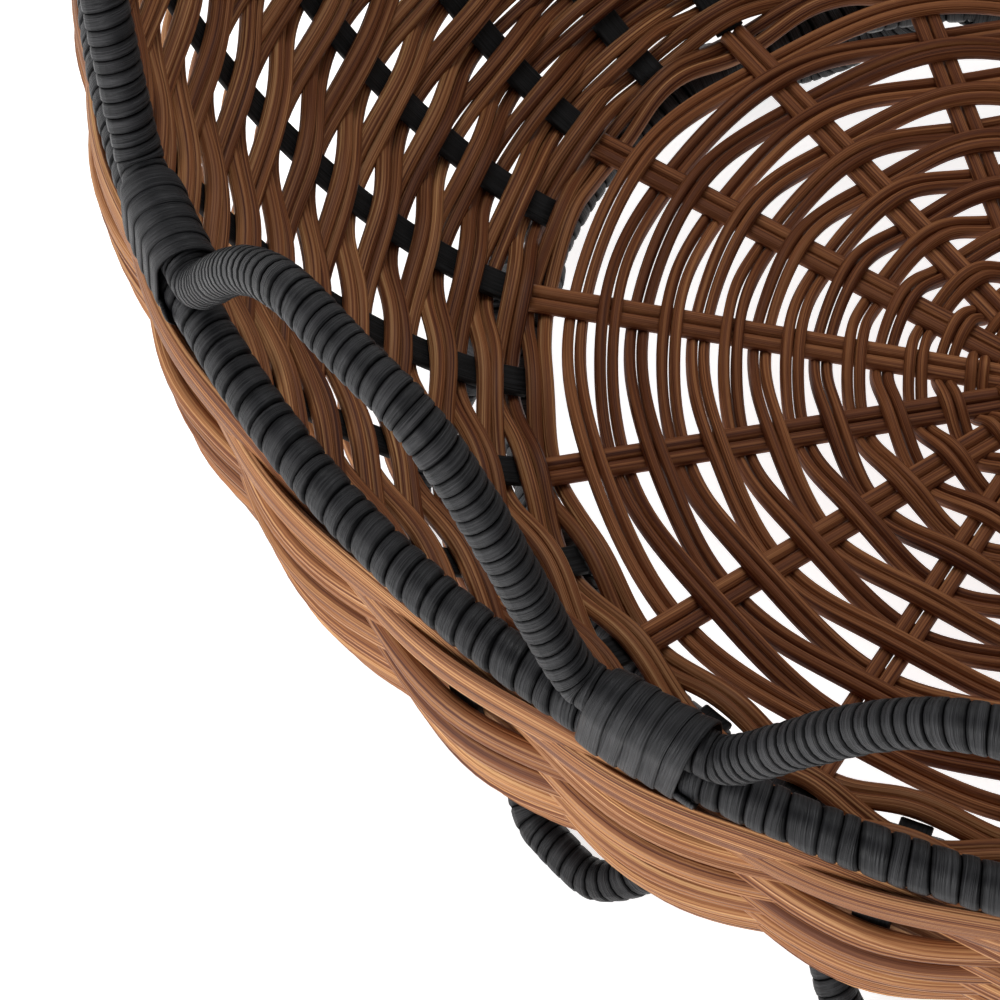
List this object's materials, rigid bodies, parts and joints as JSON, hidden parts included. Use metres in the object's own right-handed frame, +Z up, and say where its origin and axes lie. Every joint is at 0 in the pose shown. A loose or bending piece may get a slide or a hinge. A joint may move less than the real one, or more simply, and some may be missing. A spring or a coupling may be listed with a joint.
{
  "type": "basket",
  "caption": "Round open woven fruit basket with a flared bowl wall, an arched openwork gallery along the rim and a low looped foot",
  "frame": {"origin": "On the basket's own axis, at the level of the floor that the foot's loops stand on", "axes": "+Z up along the basket's axis of symmetry; +X runs through a stake and a base spoke; +Y completes the right-handed frame"},
  "size_m": [0.3342, 0.3368, 0.1894],
  "materials": {
    "wound_rod": "rods wound closely with a narrow black strip, satin",
    "lacing": "flat black strip wound round two rods, satin",
    "stakes": "flat splints dyed black, dull",
    "wall_cane": "thin round strands, fibrous, tan to reddish brown, dull satin",
    "base_cane": "thin round strands, fibrous, dark reddish brown, dull satin"
  },
  "bodies": {
    "root": {"rim_hoop": "wound_rod", "gallery_rod": "wound_rod", "base_hoop": "wound_rod", "foot_rod": "wound_rod", "rim_binding_01": "lacing", "rim_binding_02": "lacing", "rim_binding_03": "lacing", "rim_binding_04": "lacing", "rim_binding_05": "lacing", "rim_binding_06": "lacing", "rim_binding_07": "lacing", "rim_binding_08": "lacing", "rim_binding_09": "lacing", "rim_binding_10": "lacing", "foot_binding_01": "lacing", "foot_binding_02": "lacing", "foot_binding_03": "lacing", "foot_binding_04": "lacing", "foot_binding_05": "lacing", "foot_binding_06": "lacing", "foot_binding_07": "lacing", "foot_binding_08": "lacing", "foot_binding_09": "lacing", "foot_binding_10": "lacing", "stake_cage": "stakes", "wall_course_01": "wall_cane", "wall_course_02": "wall_cane", "wall_course_03": "wall_cane", "wall_course_04": "wall_cane", "wall_course_05": "wall_cane", "wall_course_06": "wall_cane", "wall_course_07": "wall_cane", "wall_course_08": "wall_cane", "border_course": "wall_cane", "base_centre": "base_cane", "base_spoke_01": "base_cane", "base_spoke_02": "base_cane", "base_spoke_03": "base_cane", "base_spoke_04": "base_cane", "base_spoke_05": "base_cane", "base_spoke_06": "base_cane", "base_spoke_07": "base_cane", "base_spoke_08": "base_cane", "base_spoke_09": "base_cane", "base_spoke_10": "base_cane", "base_spoke_11": "base_cane", "base_spoke_12": "base_cane", "base_spoke_13": "base_cane", "base_spoke_14": "base_cane", "base_spoke_15": "base_cane", "base_spoke_16": "base_cane", "base_weave_01": "base_cane", "base_weave_02": "base_cane", "base_weave_03": "base_cane"}
  },
  "joints": []
}
